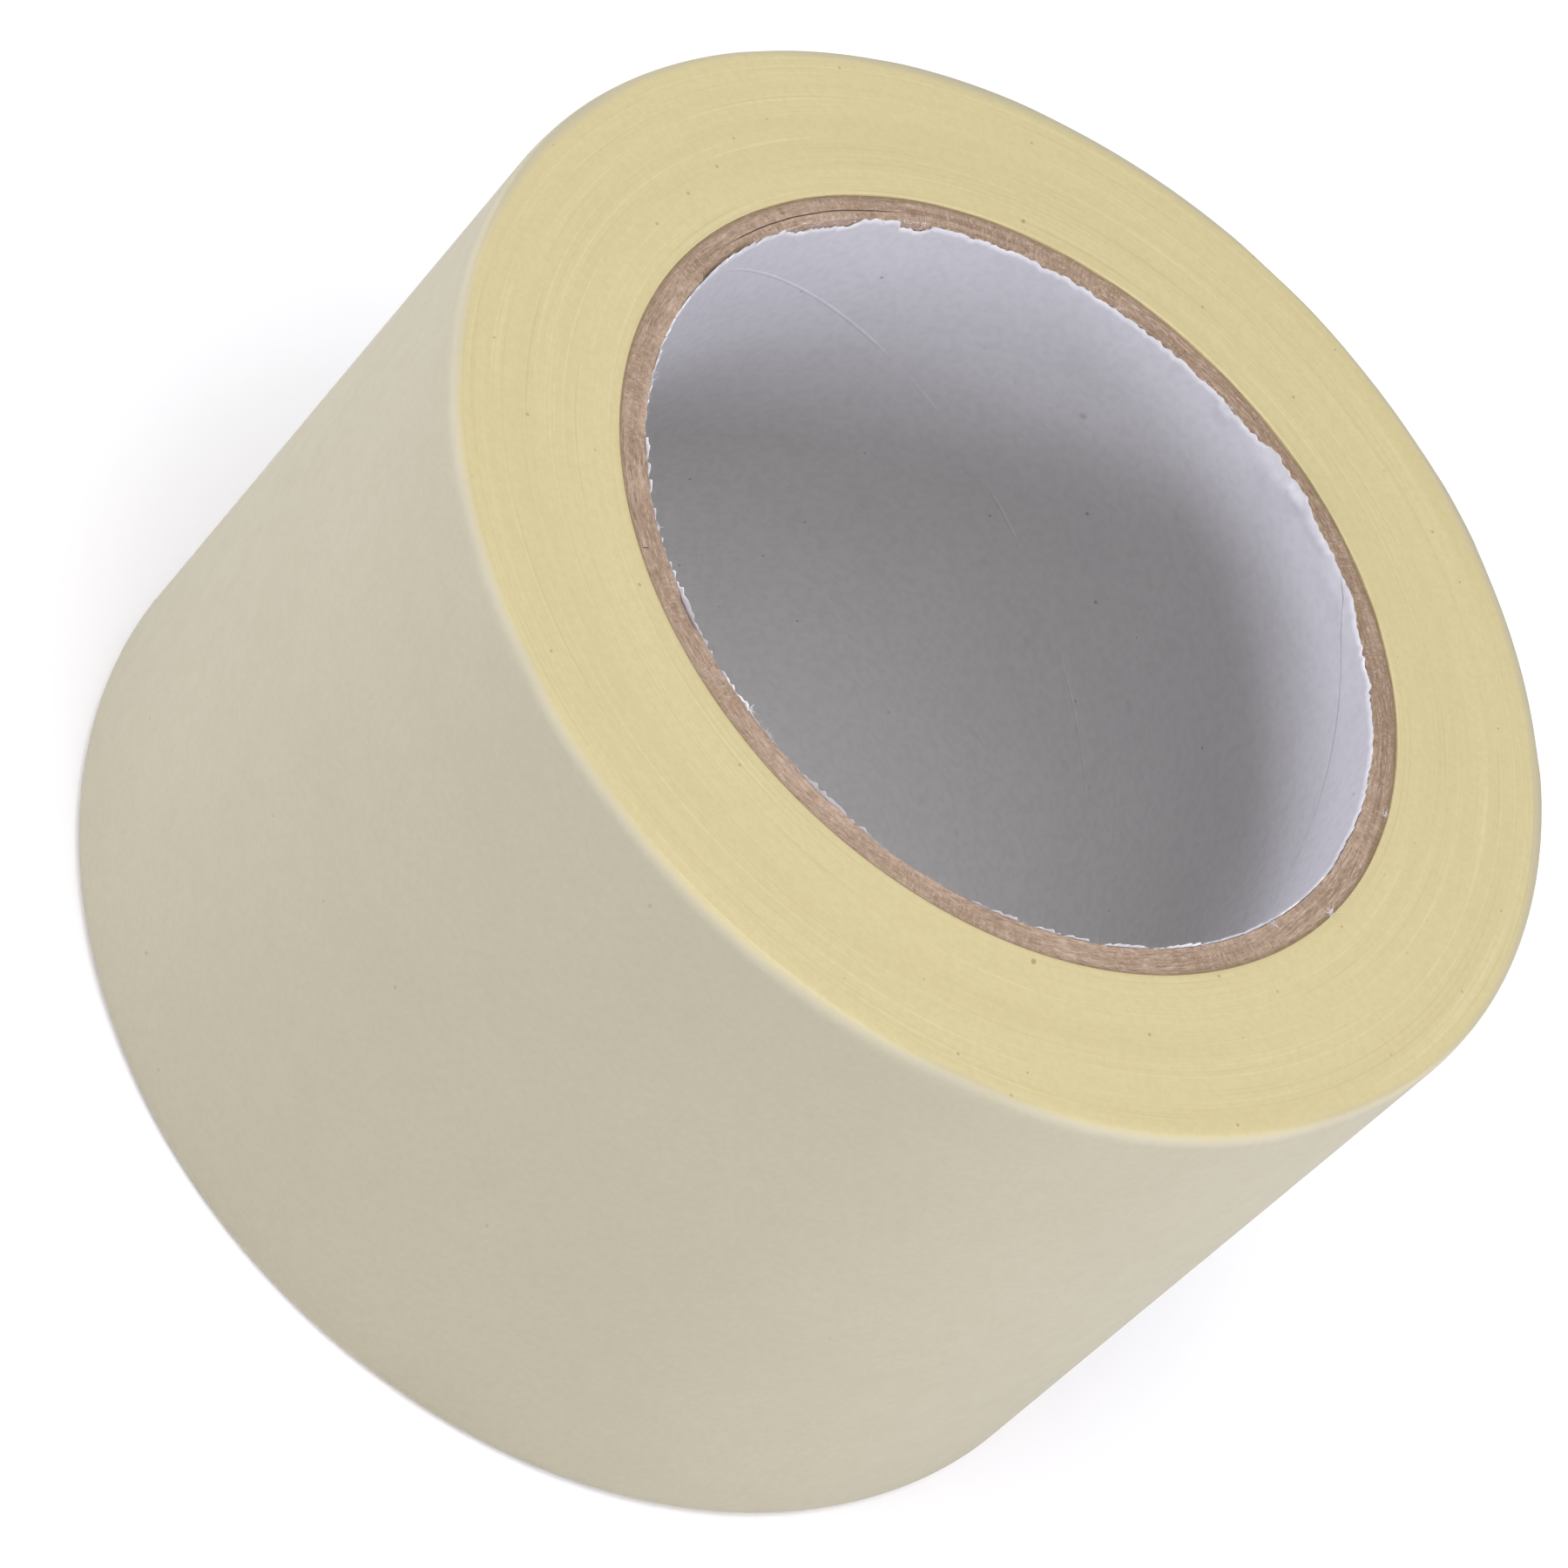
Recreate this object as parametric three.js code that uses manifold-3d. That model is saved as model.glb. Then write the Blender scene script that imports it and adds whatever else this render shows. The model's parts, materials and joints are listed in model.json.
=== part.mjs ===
// A roll of masking tape: a spiral-wound paper core, the wound tape, and the tape's free end.
// Millimetres. +Z is the roll's axis and the roll stands on one flat end at z = 0.

import * as THREE from "three";
import { mergeVertices } from "three/addons/utils/BufferGeometryUtils.js";
import Module from "manifold-3d";

const wasm = await Module();
wasm.setup();

// Driving dimensions
const ROLL_R = 58.0; // outside radius, at the tape's cut end
const ROLL_W = 75.0; // width of the tape
const BORE_R = 38.5; // inside radius of the core, a 3-inch core
const CORE_WALL = 3.0;

const BACKING_T = 0.1; // crepe paper backing
const ADHESIVE_T = 0.03; // adhesive film, left as the gap under the free end
const TAPE_T = BACKING_T + ADHESIVE_T;

const LINER_T = 0.25; // smooth white paper on the bore
const LINER_SETBACK = 0.6; // its torn edges stop short of the core's ends
const PLY_COUNT = 5; // kraft board plies under the liner
const GLUE_T = 0.05; // glue line between two plies
const CORE_SETBACK = 0.2; // the core is cut this much short of each face of the tape

const SEAM_PITCH = 124.0; // rise of a ply's helical butt seam in one turn, right-handed
const SEAM_GAP = 0.3;
const LINER_SEAM_AT = 57; // degrees, where the liner's seam meets the top end
const FIRST_PLY_SEAM_AT = 179; // the same for the first kraft ply
const PLY_SEAM_STEP = 137; // degrees from one kraft ply's seam to the next

const CORE_FACETS = 72;
const ROLL_FACETS = 48; // facets in one turn of the outside of the roll
const TAIL_FACETS = 8; // facets of the outer turn that are free to peel
const TAIL_TIP_AT = 90; // degrees, where the tape ends
const HINGE_GAP = 0.02; // clearance from each end of a tail segment to its hinge line

const CORE_R = BORE_R + CORE_WALL;
const WINDING_BORE_R = CORE_R + ADHESIVE_T; // the first turn's adhesive lies on the core
const FACET = 360 / ROLL_FACETS;
const PLY_T = (CORE_WALL - LINER_T - PLY_COUNT * GLUE_T) / PLY_COUNT;

const rad = THREE.MathUtils.degToRad;

const paint = {
  tape: new THREE.MeshStandardMaterial({ color: 0xc9c1a4, roughness: 0.8, metalness: 0 }),
  edge: new THREE.MeshStandardMaterial({ color: 0xdcd2a0, roughness: 0.85, metalness: 0 }),
  kraft: new THREE.MeshStandardMaterial({ color: 0xb2967e, roughness: 0.95, metalness: 0 }),
  liner: new THREE.MeshStandardMaterial({ color: 0xe4e2ea, roughness: 0.4, metalness: 0 }),
};

// A point at a polar angle in degrees, in the XY plane.
function polar(radius, degrees) {
  return new THREE.Vector2(radius * Math.cos(rad(degrees)), radius * Math.sin(rad(degrees)));
}

// The outside radius of the tape, a number of facets back from its cut end: a spiral that loses
// one tape thickness in each turn.
function spiralRadius(facetsBack) {
  return ROLL_R - (TAPE_T * facetsBack) / ROLL_FACETS;
}

function spiralPoint(facetsBack, depth = 0) {
  return polar(spiralRadius(facetsBack) - depth, TAIL_TIP_AT + facetsBack * FACET);
}

// A closed ring about Z, turned from its four-cornered section.
function ringGeometry(inner, outer, bottom, top) {
  const section = [
    new THREE.Vector2(inner, bottom),
    new THREE.Vector2(outer, bottom),
    new THREE.Vector2(outer, top),
    new THREE.Vector2(inner, top),
    new THREE.Vector2(inner, bottom),
  ];
  return new THREE.LatheGeometry(section, CORE_FACETS).rotateX(Math.PI / 2);
}

// A thin wall that climbs as a right-handed helix, cutting through a ring from inside to outside.
function seamGeometry(inner, outer, topAngle) {
  const margin = 1;
  const low = -margin;
  const high = ROLL_W + margin;
  const steps = 36;
  const half = SEAM_GAP / 2;
  const section = [
    [inner - margin, -half],
    [outer + margin, -half],
    [outer + margin, half],
    [inner - margin, half],
  ];
  const position = [];
  const index = [];
  for (let i = 0; i <= steps; i++) {
    const z = low + ((high - low) * i) / steps;
    const angle = rad(topAngle + ((z - ROLL_W) * 360) / SEAM_PITCH);
    for (const [along, across] of section) {
      position.push(
        along * Math.cos(angle) - across * Math.sin(angle),
        along * Math.sin(angle) + across * Math.cos(angle),
        z,
      );
    }
  }
  for (let i = 0; i < steps; i++) {
    for (let side = 0; side < 4; side++) {
      const a = i * 4 + side;
      const b = i * 4 + ((side + 1) % 4);
      index.push(a, b, b + 4, a, b + 4, a + 4);
    }
  }
  const end = steps * 4;
  index.push(0, 2, 1, 0, 3, 2, end, end + 1, end + 2, end, end + 2, end + 3);
  const geometry = new THREE.BufferGeometry();
  geometry.setAttribute("position", new THREE.Float32BufferAttribute(position, 3));
  geometry.setIndex(index);
  return geometry;
}

function toSolid(geometry) {
  const bare = geometry.clone();
  bare.deleteAttribute("normal");
  bare.deleteAttribute("uv");
  const merged = mergeVertices(bare, 1e-4);
  return new wasm.Manifold(
    new wasm.Mesh({
      numProp: 3,
      vertProperties: new Float32Array(merged.attributes.position.array),
      triVerts: new Uint32Array(merged.index.array),
    }),
  );
}

function toGeometry(solid) {
  const mesh = solid.getMesh();
  const geometry = new THREE.BufferGeometry();
  geometry.setAttribute("position", new THREE.BufferAttribute(mesh.vertProperties, 3));
  geometry.setIndex(new THREE.BufferAttribute(mesh.triVerts, 1));
  geometry.computeVertexNormals();
  return geometry;
}

// One paper strip of the core: a ring, slit along the helix where the strip's edges meet.
function ply(name, inner, thickness, setback, seamAt, material) {
  const outer = inner + thickness;
  const ring = toSolid(ringGeometry(inner, outer, setback, ROLL_W - setback));
  const seam = toSolid(seamGeometry(inner, outer, seamAt));
  const mesh = new THREE.Mesh(toGeometry(ring.subtract(seam)), material);
  mesh.name = name;
  return mesh;
}

function core() {
  const group = new THREE.Group();
  group.add(ply("core_liner", BORE_R, LINER_T, LINER_SETBACK, LINER_SEAM_AT, paint.liner));
  for (let i = 1; i <= PLY_COUNT; i++) {
    const inner = BORE_R + LINER_T + GLUE_T + (i - 1) * (PLY_T + GLUE_T);
    const seamAt = FIRST_PLY_SEAM_AT + (i - 1) * PLY_SEAM_STEP;
    group.add(ply(`core_ply_${i}`, inner, PLY_T, CORE_SETBACK, seamAt, paint.kraft));
  }
  return group;
}

function extrudeUp(outline) {
  return new THREE.ExtrudeGeometry(outline, { depth: ROLL_W, bevelEnabled: false });
}

// The wound tape. Its outline follows the spiral from the free end's root back to the cut end, and
// on under the free end, where it is one turn deeper.
function winding() {
  const outline = [];
  for (let k = TAIL_FACETS; k < ROLL_FACETS; k++) {
    outline.push(spiralPoint(k));
  }
  for (let k = 0; k <= TAIL_FACETS; k++) {
    outline.push(spiralPoint(ROLL_FACETS + k));
  }
  const shape = new THREE.Shape(outline);
  const bore = [];
  for (let i = 0; i < CORE_FACETS; i++) {
    bore.push(polar(WINDING_BORE_R, 90 - (i * 360) / CORE_FACETS));
  }
  shape.holes.push(new THREE.Path(bore));
  const mesh = new THREE.Mesh(extrudeUp(shape), paint.edge);
  mesh.name = "tape_winding";
  return mesh;
}

// One flat length of the free end's paper backing. Its outer corners lie on the hinge lines, and
// its ends are mitred so that they meet the next lengths when the tape lies on the roll.
function tailSegment(number) {
  const rootSide = TAIL_FACETS - number + 1;
  const tipSide = rootSide - 1;
  const depth = BACKING_T / Math.cos(rad(FACET / 2));
  const outer = [spiralPoint(rootSide), spiralPoint(tipSide)];
  const inner = [spiralPoint(rootSide, depth), spiralPoint(tipSide, depth)];
  const clear = outer[1].clone().sub(outer[0]).setLength(HINGE_GAP);
  const outline = [
    inner[0].add(clear),
    inner[1].sub(clear),
    outer[1].sub(clear),
    outer[0].add(clear),
  ];
  const mesh = new THREE.Mesh(extrudeUp(new THREE.Shape(outline)), paint.tape);
  mesh.name = `tape_tail_${String(number).padStart(2, "0")}`;
  return mesh;
}

function tail() {
  const group = new THREE.Group();
  for (let number = 1; number <= TAIL_FACETS; number++) {
    group.add(tailSegment(number));
  }
  return group;
}

const roll = new THREE.Group();
roll.add(core(), winding(), tail());

export default roll;
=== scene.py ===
"""A roll of masking tape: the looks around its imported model. Metres, +Z along the roll's axis."""

import json
import math

import bmesh
import bpy
import numpy as np
from mathutils import Matrix, Vector, noise


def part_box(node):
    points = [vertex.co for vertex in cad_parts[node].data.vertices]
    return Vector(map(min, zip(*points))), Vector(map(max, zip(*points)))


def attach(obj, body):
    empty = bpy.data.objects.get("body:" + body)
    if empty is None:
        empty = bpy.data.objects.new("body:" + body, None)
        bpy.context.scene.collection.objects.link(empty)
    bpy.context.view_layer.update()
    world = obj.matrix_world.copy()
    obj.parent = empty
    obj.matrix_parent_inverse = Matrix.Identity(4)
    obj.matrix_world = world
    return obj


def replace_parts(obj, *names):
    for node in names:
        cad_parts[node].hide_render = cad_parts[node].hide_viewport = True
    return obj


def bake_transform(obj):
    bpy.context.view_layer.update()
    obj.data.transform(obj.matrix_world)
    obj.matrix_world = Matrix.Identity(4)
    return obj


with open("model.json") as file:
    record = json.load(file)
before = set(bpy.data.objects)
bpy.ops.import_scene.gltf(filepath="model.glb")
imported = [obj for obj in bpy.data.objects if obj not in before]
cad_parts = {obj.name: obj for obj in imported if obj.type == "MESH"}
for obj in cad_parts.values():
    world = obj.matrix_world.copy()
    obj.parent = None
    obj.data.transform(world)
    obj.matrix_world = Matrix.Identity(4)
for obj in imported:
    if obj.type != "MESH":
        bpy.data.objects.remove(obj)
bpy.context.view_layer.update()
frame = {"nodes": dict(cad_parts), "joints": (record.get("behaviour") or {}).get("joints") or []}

MM = 0.001
TAU = 2 * math.pi

# The tape
TAPE_T = 0.13 * MM
ADHESIVE_T = 0.03 * MM
RIM_INSET = 0.5 * MM  # how far in from the outside the rounding of a rim starts, at a wear of 1
RIM_FALL = 0.8 * MM  # how far down the outside it ends, at a wear of 1
LEAST_WEAR = 0.25  # of the rims; RIM_WEAR adds to it
CROWN = 0.15 * MM  # how far the roll's ends slope down towards the rims
CROWN_REACH = 2.4 * MM  # how far in from the rims they start to
TIP_STEP_TURNS = 0.03  # past the cut end, the rims step in by one turn over this part of a turn
WINDING_COLUMNS = 360  # mesh columns around the wound tape
STRIP_COLUMNS = 14  # and along each strip of the free end
ROLL_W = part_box("tape_winding")[1].z

# The hinges of the free end, from its root to the last one before the cut end
HINGES = [Vector(j["pos_m"]) for j in frame["joints"]]
TAIL_BODIES = [j["child"] for j in frame["joints"]]


def polar_angle(point):
    return math.atan2(point.y, point.x)


FACET = polar_angle(HINGES[0]) - polar_angle(HINGES[1])
TIP_ANGLE = polar_angle(HINGES[-1]) - FACET
FACET_TURNS = FACET / TAU
TAIL_TURNS = len(HINGES) * FACET_TURNS
ROLL_R = HINGES[0].to_2d().length + TAPE_T * TAIL_TURNS

# The core
PLY_T = 0.5 * MM
GLUE_T = 0.05 * MM
LINER_T = 0.25 * MM
SEAM_GAP = 0.18 * MM
SEAM_SLOPE = TAU / (124 * MM)  # radians of turn for each metre of height
LINER_SEAM_SLOPE = TAU / (98 * MM)
LINER_SEAM_AT = math.radians(56.7)  # where its seam meets the top end
FIRST_PLY_SEAM_AT = math.radians(182)
PLY_SEAM_STEP = math.radians(137)  # from one ply's seam to the next one's
PLIES = sorted(n for n in frame["nodes"] if n.startswith("core_ply"))


def reach(node):
    """A round node's outside radius."""
    low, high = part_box(node)
    return max(-low.x, -low.y, high.x, high.y)


LINER_R = reach("core_liner")
CORE_R = reach(PLIES[-1])
WINDING_BORE_R = CORE_R + ADHESIVE_T

CORE_SETBACK = 0.2 * MM  # the core ends this far inside the winding's ends
CUT_DEPTH = 0.8 * MM  # the plies are rough and stained this deep from their ends
LOOSE_DEPTH = 3.5 * MM  # the liner is uneven and may buckle this deep from its ends
WHITE_DEPTH = 0.3 * MM  # and it is torn white and pressed onto the board this deep

# How the wound tape presses the core out of round and off centre, in mm of radius
CORE_PRESSED = 0.244
CORE_SHIFTED = 0.237  # towards +Y
CORE_OVAL = 0.29
CORE_OVAL_TURN = 0.14  # radians

# Marks around the roll: angle and half width in degrees, and an amount. The first two lists are
# the liner's ends, in mm that it stands up or, below 0, is torn back.
LINER_TOP_MARKS = (
    (64, 19, 0.50),
    (72.5, 6.5, 0.45),
    (86, 4, 0.15),
    (140, 3.2, -0.90),
    (156, 7.5, -0.95),
    (176, 7, 0.25),
    (190, 10, -0.35),
    (206, 12, -0.20),
    (10, 6.5, -0.25),
    (-72, 14, -0.15),
)
LINER_BOTTOM_MARKS = ((30, 10, -0.4), (170, 14, -0.3), (265, 6, -0.6))
RAGGED = ((-150, 50, 1.3), (-60, 60, 0.9), (45, 12, 0.5))  # shares of extra raggedness
LINER_FOLDS = ((63, 4, 0.10), (69.5, 2.2, 0.22), (85.5, 1.5, 0.14))  # mm that it bulges inwards
# Shares of white torn paper along the liner's upper end
WHITE_EDGE = ((-145, 24, 0.25), (-105, 4, 0.5), (-50, 30, 0.15), (48, 14, 0.2), (-172, 12, 0.25))
OPEN_GLUE = ((158, 17, 0.9),)  # shares of a fully open glue line outside OPEN_GLUE_PLY
OPEN_GLUE_PLY = 2
DARK_BOARD = ((176, 7, 1.0), (-118, 3, 0.4))  # shares of a dented hollow on DARK_PLY, painted dark brown as its shade
DARK_PLY = 1
BOARD_SHADE = ((86, 66, 0.40), (-140, 34, 0.12), (28, 22, 0.30))  # shares of painted shade on the board's ends, mostly on the far side
OLD_PLIES = (0.1, 0.0, 0.30, 0.05, 0.15)  # shares of darker board for each ply, all around
RIM_WEAR = (  # added to LEAST_WEAR
    (-90, 95, 1.75),
    (-98, 20, -0.35),
    (47, 14, 0.5),
    (82, 16, 0.5),
    (106, 18, 0.4),
    (146, 10, 0.25),
)
YELLOW_RIM = ((-90, 27, 0.45),)  # mm that the edges' yellow reaches further over the rim

# Loose fibres along the liner's edge, over the board, and in tufts. A tuft has an angle and a
# spread in degrees, a distance out from the liner in mm, and a count.
EDGE_FIBRES = 520
BOARD_FIBRES = 420
FIBRE_TUFTS = (
    (-102.5, 0.35, -0.15, 34),
    (-98, 0.3, 0.0, 14),
    (-13, 0.3, 0.1, 26),
    (-3.2, 0.35, 2.6, 60),
    (17.8, 0.35, 2.5, 30),
    (85.5, 0.3, 0.0, 30),
    (139, 2.0, 0.1, 30),
    (153, 6.0, 0.1, 40),
)


# ---------------------------------------------------------------- mesh helpers


def wobble(*place):
    """Smooth noise, mostly from -0.5 to 0.5, at a place whose units are the noise's own size."""
    return noise.noise(Vector(place))


def around(angle, count):
    """A point on a circle, for noise that repeats after one turn with about count bumps in it."""
    radius = count / TAU
    return radius * math.cos(angle), radius * math.sin(angle)


def smooth(share):
    """A share from 0 to 1 that leaves 0 and reaches 1 gently, and stays there outside."""
    share = min(max(share, 0.0), 1.0)
    return share * share * (3 - 2 * share)


def marks_at(marks, angle):
    """The total amount of a list of marks at an angle. Each rises and ends smoothly."""
    total = 0.0
    for centre, half_width, amount in marks:
        away = (math.degrees(angle) - centre + 180) % 360 - 180
        total += amount * smooth(1.6 - 1.6 * (away / half_width) ** 2)
    return total


def on_roll(radius, angle, z):
    """The place of a point of the roll, pressed out of round fully at the core, and less and less
    towards the outside."""
    share = min(max((ROLL_R - radius) / (ROLL_R - CORE_R), 0.0), 1.0)
    oval = CORE_OVAL * math.cos(2 * angle + CORE_OVAL_TURN)
    radius += share * (CORE_SHIFTED * math.sin(angle) + oval - CORE_PRESSED) * MM
    return radius * math.cos(angle), radius * math.sin(angle), z


def link(name, mesh, materials, sharp_from):
    """Puts a mesh in the scene. Its edges are sharp from this angle up, in degrees."""
    for material in materials:
        mesh.materials.append(material)
    mesh.shade_smooth()
    mesh.set_sharp_from_angle(angle=math.radians(sharp_from))
    piece = bpy.data.objects.new(name, mesh)
    bpy.context.scene.collection.objects.link(piece)
    return piece


def link_bmesh(name, bm, materials, sharp_from=35):
    mesh = bpy.data.meshes.new(name)
    bm.to_mesh(mesh)
    bm.free()
    return link(name, mesh, materials, sharp_from)


def face_outwards(bm):
    """Turns the faces of a closed mesh, or of several apart, to the outside."""
    bmesh.ops.recalc_face_normals(bm, faces=bm.faces)
    if bm.calc_volume(signed=True) < 0:
        bmesh.ops.reverse_faces(bm, faces=bm.faces)


def set_attribute(mesh, name, values):
    mesh.attributes.new(name, "FLOAT", "POINT").data.foreach_set("value", values)


# ---------------------------------------------------------------- node helpers


class Nodes:
    """A material's node tree, with short calls for the nodes that these materials use."""

    def __init__(self, name):
        self.material = bpy.data.materials.new(name)
        self.material.use_nodes = True
        self.tree = self.material.node_tree
        self.tree.nodes.clear()
        self.shader = self.tree.nodes.new("ShaderNodeBsdfPrincipled")
        output = self.tree.nodes.new("ShaderNodeOutputMaterial")
        self.tree.links.new(self.shader.outputs["BSDF"], output.inputs["Surface"])
        self.place = self.tree.nodes.new("ShaderNodeTexCoord").outputs["Object"]

    def put(self, socket, value):
        """Links another node's output to a socket, or sets the socket's own value."""
        if isinstance(value, bpy.types.NodeSocket):
            self.tree.links.new(value, socket)
        else:
            socket.default_value = value

    def node(self, kind, **settings):
        made = self.tree.nodes.new("ShaderNode" + kind)
        for key, value in settings.items():
            setattr(made, key, value)
        return made

    def math(self, operation, a, b=0.0, c=0.0):
        made = self.node("Math", operation=operation)
        for socket, value in zip(made.inputs, (a, b, c)):
            self.put(socket, value)
        return made.outputs[0]

    def stretch(self, vector, scale):
        made = self.node("Mapping")
        self.put(made.inputs["Vector"], vector)
        made.inputs["Scale"].default_value = scale
        return made.outputs[0]

    def noise(self, vector, scale, detail=2.0, roughness=0.5):
        made = self.node("TexNoise")
        self.put(made.inputs["Vector"], vector)
        made.inputs["Scale"].default_value = scale
        made.inputs["Detail"].default_value = detail
        made.inputs["Roughness"].default_value = roughness
        return made.outputs["Fac"]

    def ramp(self, value, low, high, to_low=0.0, to_high=1.0):
        """value from low to high becomes to_low to to_high, and stays there outside."""
        made = self.node("MapRange", clamp=True, interpolation_type="SMOOTHSTEP")
        for socket, number in zip(made.inputs, (value, low, high, to_low, to_high)):
            self.put(socket, number)
        return made.outputs[0]

    def mix(self, factor, a, b):
        made = self.node("Mix", data_type="RGBA")
        self.put(made.inputs[0], factor)
        self.put(made.inputs[6], a)
        self.put(made.inputs[7], b)
        return made.outputs[2]

    def attribute(self, name):
        return self.node("Attribute", attribute_name=name).outputs["Fac"]

    def specks(self, vector, scale, size, share):
        """1 inside small round specks: one in each flat Voronoi cell, in a share of the cells."""
        cell = self.node("TexVoronoi", voronoi_dimensions="2D")
        self.put(cell.inputs["Vector"], vector)
        cell.inputs["Scale"].default_value = scale
        parts = self.node("SeparateColor")
        self.tree.links.new(cell.outputs["Color"], parts.inputs[0])
        chosen = self.math("LESS_THAN", parts.outputs[0], share)
        radius = self.math("MULTIPLY", self.math("ADD", parts.outputs[1], 0.5), size)
        away = self.math("DIVIDE", cell.outputs["Distance"], radius)
        near = self.ramp(away, 0.5, 1.0, 1.0, 0.0)
        return self.math("MULTIPLY", near, chosen)

    def unrolled(self, radius):
        """The place laid flat, where x goes around, y is the height and z the distance outwards,
        then the angle and the height."""
        split = self.node("SeparateXYZ")
        self.put(split.inputs[0], self.place)
        angle = self.math("ARCTAN2", split.outputs[1], split.outputs[0])
        level = self.node("VectorMath", operation="LENGTH")
        self.put(level.inputs[0], self.stretch(self.place, (1.0, 1.0, 0.0)))
        flat = self.node("CombineXYZ")
        self.put(flat.inputs[0], self.math("MULTIPLY", angle, radius))
        self.put(flat.inputs[1], split.outputs[2])
        self.put(flat.inputs[2], level.outputs["Value"])
        return flat.outputs[0], angle, split.outputs[2]

    def bump(self, height, distance, strength=1.0, under=None):
        made = self.node("Bump")
        made.inputs["Strength"].default_value = strength
        made.inputs["Distance"].default_value = distance
        self.put(made.inputs["Height"], height)
        if under is not None:
            self.put(made.inputs["Normal"], under)
        return made.outputs[0]

    def finish(self, colour, roughness, normal, **constants):
        """Joins these to the shader, and sets constants on its sockets of the same names."""
        self.put(self.shader.inputs["Base Color"], colour)
        self.put(self.shader.inputs["Roughness"], roughness)
        self.put(self.shader.inputs["Normal"], normal)
        for name, value in constants.items():
            self.shader.inputs[name.replace("_", " ")].default_value = value
        return self.material


def rgb(red, green, blue):
    return (red, green, blue, 1.0)


# ---------------------------------------------------------------- materials


def crepe_colour(n):
    """The tape's back: greige crepe paper, faintly mottled, with a rare dark speck."""
    cloud = n.noise(n.place, 60, 2)
    colour = n.mix(n.ramp(cloud, 0.3, 0.7), rgb(0.362, 0.333, 0.233), rgb(0.370, 0.341, 0.240))
    fibre = n.noise(n.place, 1500, 3, 0.6)
    colour = n.mix(n.ramp(fibre, 0.3, 0.7, 0.0, 0.24), colour, rgb(0.310, 0.284, 0.196))
    wall = n.unrolled(ROLL_R)[0]
    dots = n.specks(wall, 95, 0.020, 0.16)
    return n.mix(n.math("MULTIPLY", dots, 0.40), colour, rgb(0.21, 0.17, 0.12))


def crepe_normal(n):
    """Crepe wrinkles run across the tape, along the roll's axis."""
    wrinkle = n.noise(n.stretch(n.place, (1.0, 1.0, 0.12)), 1900, 2, 0.6)
    fine = n.noise(n.place, 5200, 1)
    return n.bump(fine, 0.008 * MM, 0.5, under=n.bump(wrinkle, 0.012 * MM, 0.5))


def edge_colour(n):
    """The cut edges of the turns: pale yellow, in fine rings that follow the spiral."""
    turn = n.attribute("turn")
    flat = n.node("VectorMath", operation="NORMALIZE")
    n.put(flat.inputs[0], n.stretch(n.place, (1.0, 1.0, 0.0)))
    spread = n.node("SeparateXYZ")
    n.put(spread.inputs[0], flat.outputs[0])

    def rings(per_turn, arcs):
        """Noise that changes per_turn times in each turn inwards, and arcs times around."""
        made = n.node("CombineXYZ")
        n.put(made.inputs[0], n.math("MULTIPLY", turn, per_turn))
        n.put(made.inputs[1], n.math("MULTIPLY", spread.outputs[0], arcs))
        n.put(made.inputs[2], n.math("MULTIPLY", spread.outputs[1], arcs))
        return made.outputs[0]

    fine = n.noise(rings(1.1, 5.0), 1.0, 1)
    broad = n.noise(rings(0.06, 0.8), 1.0, 1)
    lines = n.noise(rings(0.62, 1.6), 1.0, 0)
    grain = n.noise(n.place, 1700, 2, 0.6)
    colour = n.mix(n.ramp(broad, 0.3, 0.7), rgb(0.526, 0.455, 0.240), rgb(0.546, 0.474, 0.256))
    colour = n.mix(n.ramp(fine, 0.3, 0.7, 0.0, 0.13), colour, rgb(0.482, 0.406, 0.198))
    colour = n.mix(n.ramp(lines, 0.66, 0.78, 0.0, 0.34), colour, rgb(0.610, 0.552, 0.350))
    colour = n.mix(n.ramp(lines, 0.32, 0.22, 0.0, 0.28), colour, rgb(0.410, 0.334, 0.146))
    colour = n.mix(n.ramp(grain, 0.32, 0.72, 0.0, 0.24), colour, rgb(0.430, 0.360, 0.180))
    small = n.specks(n.place, 170, 0.030, 0.36)
    colour = n.mix(n.math("MULTIPLY", small, 0.55), colour, rgb(0.27, 0.19, 0.09))
    large = n.specks(n.stretch(n.place, (1.0, 0.8, 1.0)), 85, 0.024, 0.18)
    return n.mix(n.math("MULTIPLY", large, 0.6), colour, rgb(0.23, 0.15, 0.07)), fine


def tape_material():
    """Wound tape: its back on the outside, its cut edges on the ends, blended over the rims, with a
    painted highlight along them.
    """
    n = Nodes("tape_and_edges")
    edge, fine = edge_colour(n)
    uneven = n.ramp(n.noise(n.stretch(n.place, (1.0, 1.0, 0.0)), 30, 2), 0.3, 0.7, -0.4, 0.3)
    past = n.math("SUBTRACT", n.attribute("rim"), uneven)
    back_share = n.ramp(past, -1.15, 0.25)
    # Painted highlight: a pale band along the rims' rounding
    pale = n.ramp(n.math("ABSOLUTE", n.math("ADD", past, 0.1)), 0.0, 1.2, 0.32, 0.0)
    colour = n.mix(back_share, edge, crepe_colour(n))
    colour = n.mix(pale, colour, rgb(0.530, 0.480, 0.330))
    rings = n.bump(fine, 0.012 * MM, 0.3)
    mixed = n.node("Mix", data_type="VECTOR")
    n.put(mixed.inputs[0], back_share)
    n.put(mixed.inputs[4], rings)
    n.put(mixed.inputs[5], crepe_normal(n))
    roughness = n.ramp(n.noise(n.place, 300, 2), 0.3, 0.7, 0.66, 0.76)
    return n.finish(colour, roughness, mixed.outputs[1], IOR=1.40)


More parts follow.
